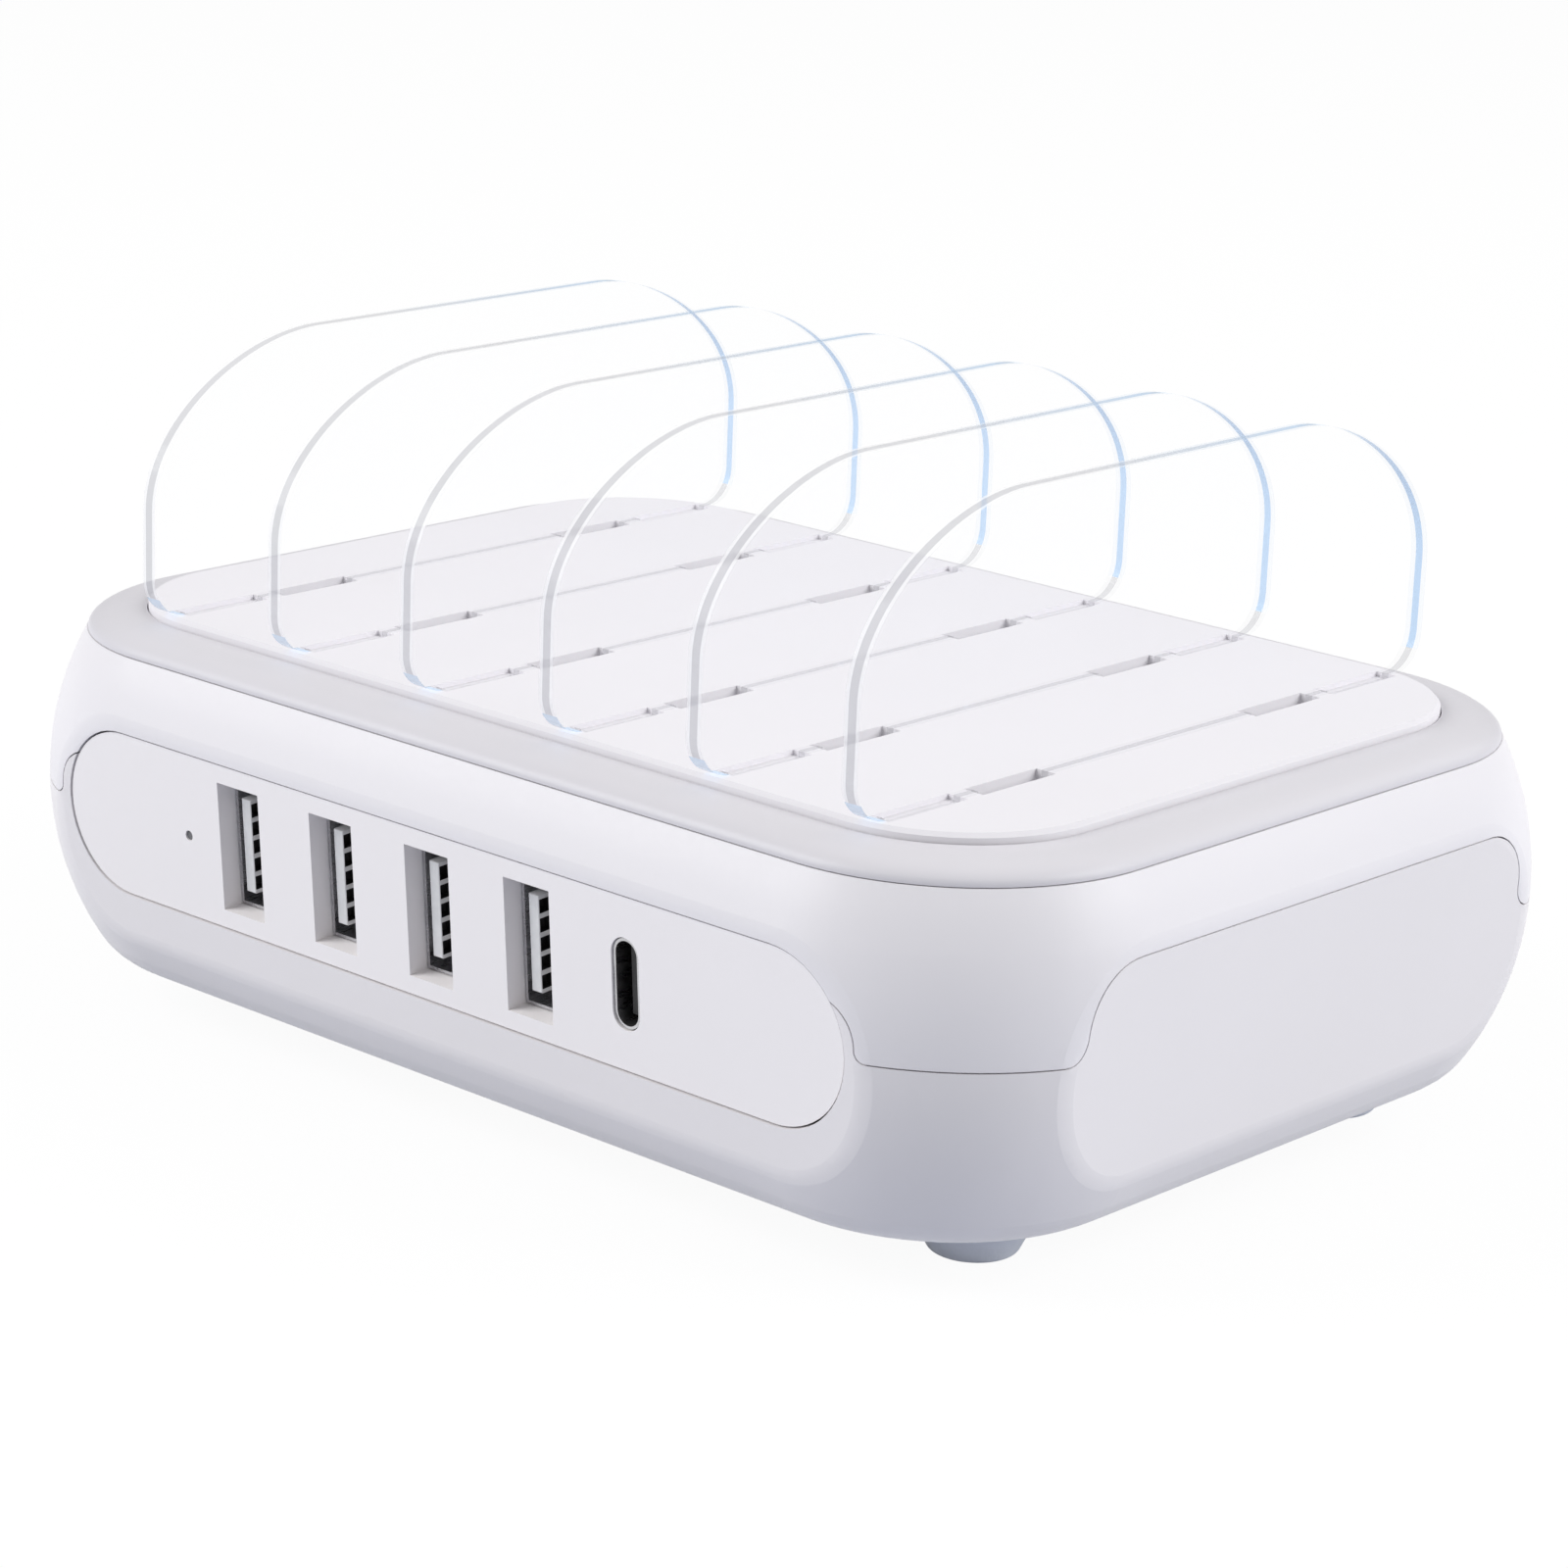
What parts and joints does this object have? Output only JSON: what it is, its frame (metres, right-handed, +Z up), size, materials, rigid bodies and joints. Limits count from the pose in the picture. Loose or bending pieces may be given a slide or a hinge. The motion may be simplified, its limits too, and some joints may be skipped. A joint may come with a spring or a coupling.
{
  "type": "charging station organizer",
  "caption": "Rounded white desktop charging base with upright USB sockets on the front, a mains inlet at the rear and clear lift-off dividers standing in slots on top.",
  "frame": {"origin": "centre of the plane under the four feet", "axes": "+X along the length to the right end seen in the picture, -Y out of the front with the sockets, +Z up"},
  "size_m": [0.1378, 0.0984, 0.0702],
  "materials": {
    "lower_white": "smooth white moulded plastic, satin gloss",
    "upper_white": "smooth white moulded plastic, satin gloss",
    "band_white": "smooth white moulded plastic, glossy",
    "panel_white": "white moulded plastic, fine satin",
    "plate_white": "white moulded plastic, fine satin",
    "clear_acrylic": "clear acrylic sheet with polished edges",
    "foot_rubber": "pale soft rubber, matte",
    "socket_steel": "stamped nickel-plated steel",
    "contact_gold": "plated contact strip",
    "tongue_white": "white insulator plastic",
    "tongue_black": "black insulator plastic",
    "light_pipe": "milky light guide plastic",
    "chip_yellow": "small encapsulated light chip",
    "board_green": "glass-fibre board with solder mask",
    "part_black": "black moulded component body",
    "inlet_black": "black moulded inlet body, fine texture",
    "ferrite": "dark sintered ferrite",
    "tape_yellow": "winding wrapped in yellow tape",
    "can_sleeve": "aluminium can with a dark sleeve",
    "sink_metal": "extruded plain aluminium",
    "copper_wire": "lacquered copper wire on a ring",
    "fuse_sleeve": "ceramic-look fuse body with end caps",
    "pin_metal": "plated round pin",
    "screw_steel": "zinc-plated steel"
  },
  "bodies": {
    "base": {"lower_shell": "lower_white", "upper_shell": "upper_white", "top_band": "band_white", "slot_panel": "panel_white", "port_plate": "plate_white", "port_board": "board_green", "led_light_pipe": "light_pipe", "led_chip": "chip_yellow", "main_board": "board_green", "board_header": "part_black", "transformer_core": "ferrite", "transformer_winding": "tape_yellow", "bulk_capacitor": "can_sleeve", "output_capacitors": "can_sleeve", "heat_sink": "sink_metal", "switch_transistor": "part_black", "line_choke": "copper_wire", "line_fuse": "fuse_sleeve", "bridge_rectifier": "part_black", "mains_inlet": "inlet_black", "mains_pins": "pin_metal", "case_screws": "screw_steel", "board_screws": "screw_steel", "usb_c_shell": "socket_steel", "usb_c_tongue": "tongue_black", "usb_c_contacts": "contact_gold", "usb_a_shell_1": "socket_steel", "usb_a_tongue_1": "tongue_white", "usb_a_contacts_1": "contact_gold", "foot_1": "foot_rubber", "usb_a_shell_2": "socket_steel", "usb_a_tongue_2": "tongue_white", "usb_a_contacts_2": "contact_gold", "foot_2": "foot_rubber", "usb_a_shell_3": "socket_steel", "usb_a_tongue_3": "tongue_white", "usb_a_contacts_3": "contact_gold", "foot_3": "foot_rubber", "usb_a_shell_4": "socket_steel", "usb_a_tongue_4": "tongue_white", "usb_a_contacts_4": "contact_gold", "foot_4": "foot_rubber"},
    "divider_1": {"divider_1": "clear_acrylic"},
    "divider_2": {"divider_2": "clear_acrylic"},
    "divider_3": {"divider_3": "clear_acrylic"},
    "divider_4": {"divider_4": "clear_acrylic"},
    "divider_5": {"divider_5": "clear_acrylic"},
    "divider_6": {"divider_6": "clear_acrylic"}
  },
  "joints": [
    {"name": "divider_1_lift", "type": "slide", "parent": "base", "child": "divider_1", "axis": [0, 0, 1], "range_m": [0, 0.025]},
    {"name": "divider_2_lift", "type": "slide", "parent": "base", "child": "divider_2", "axis": [0, 0, 1], "range_m": [0, 0.025]},
    {"name": "divider_3_lift", "type": "slide", "parent": "base", "child": "divider_3", "axis": [0, 0, 1], "range_m": [0, 0.025]},
    {"name": "divider_4_lift", "type": "slide", "parent": "base", "child": "divider_4", "axis": [0, 0, 1], "range_m": [0, 0.025]},
    {"name": "divider_5_lift", "type": "slide", "parent": "base", "child": "divider_5", "axis": [0, 0, 1], "range_m": [0, 0.025]},
    {"name": "divider_6_lift", "type": "slide", "parent": "base", "child": "divider_6", "axis": [0, 0, 1], "range_m": [0, 0.025]}
  ]
}
